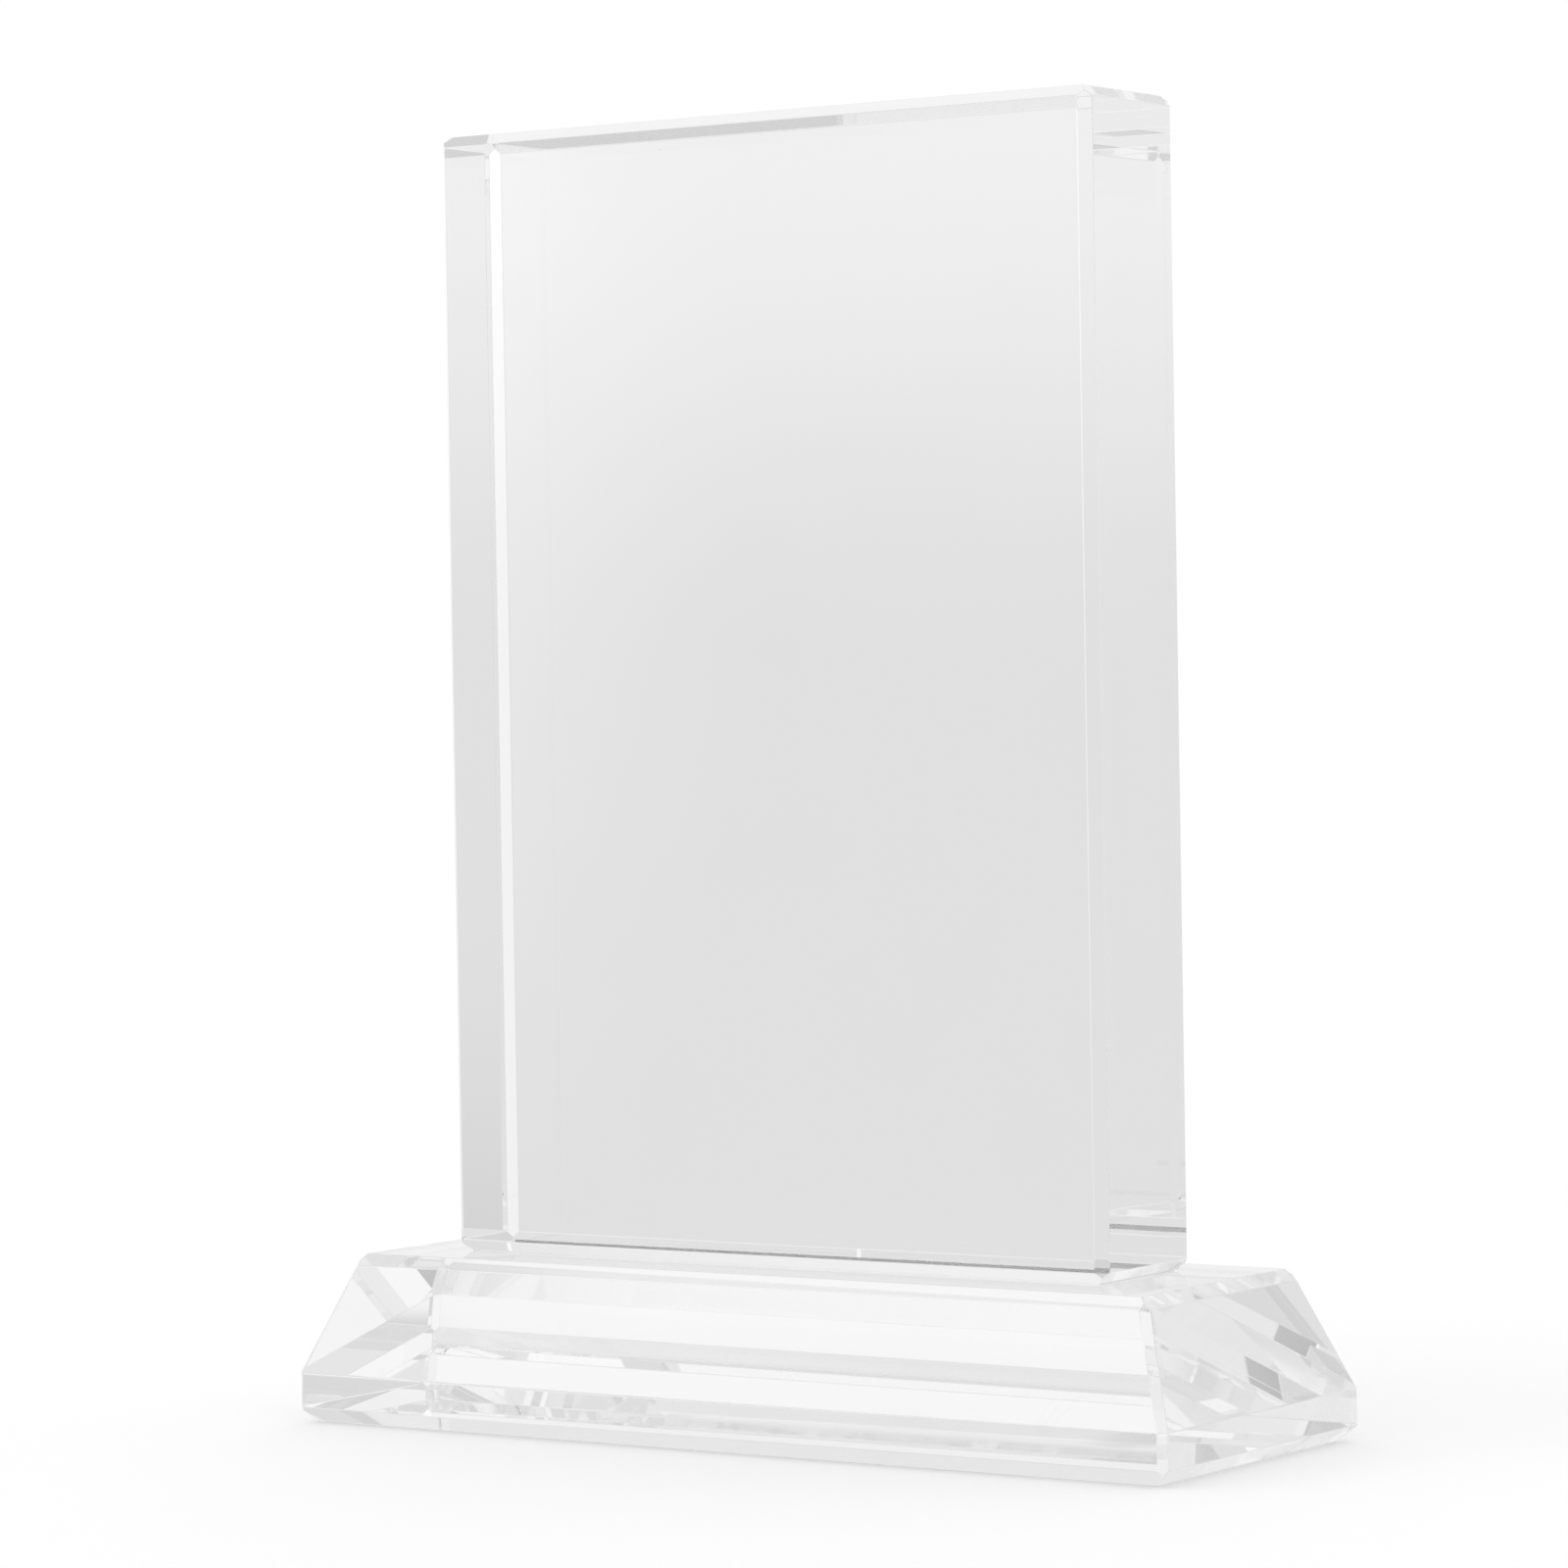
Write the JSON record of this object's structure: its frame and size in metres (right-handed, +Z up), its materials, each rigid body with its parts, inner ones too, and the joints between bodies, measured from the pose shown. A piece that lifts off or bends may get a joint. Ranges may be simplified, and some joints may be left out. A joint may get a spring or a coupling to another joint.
{
  "type": "crystal picture frame",
  "caption": "Free-standing clear crystal picture frame: an upright portrait plaque with chamfered edges, bonded to a bevelled clear base with a flat underside.",
  "frame": {"origin": "centre of the base's flat underside", "axes": "+Z up, X along the plaque's width, the picture side looks towards -Y"},
  "size_m": [0.135, 0.05, 0.1726],
  "materials": {
    "clear_crystal": "polished clear optical glass",
    "clear_adhesive": "clear cured resin"
  },
  "bodies": {
    "root": {"crystal_base": "clear_crystal", "adhesive_bond": "clear_adhesive", "crystal_plaque": "clear_crystal"}
  },
  "joints": []
}
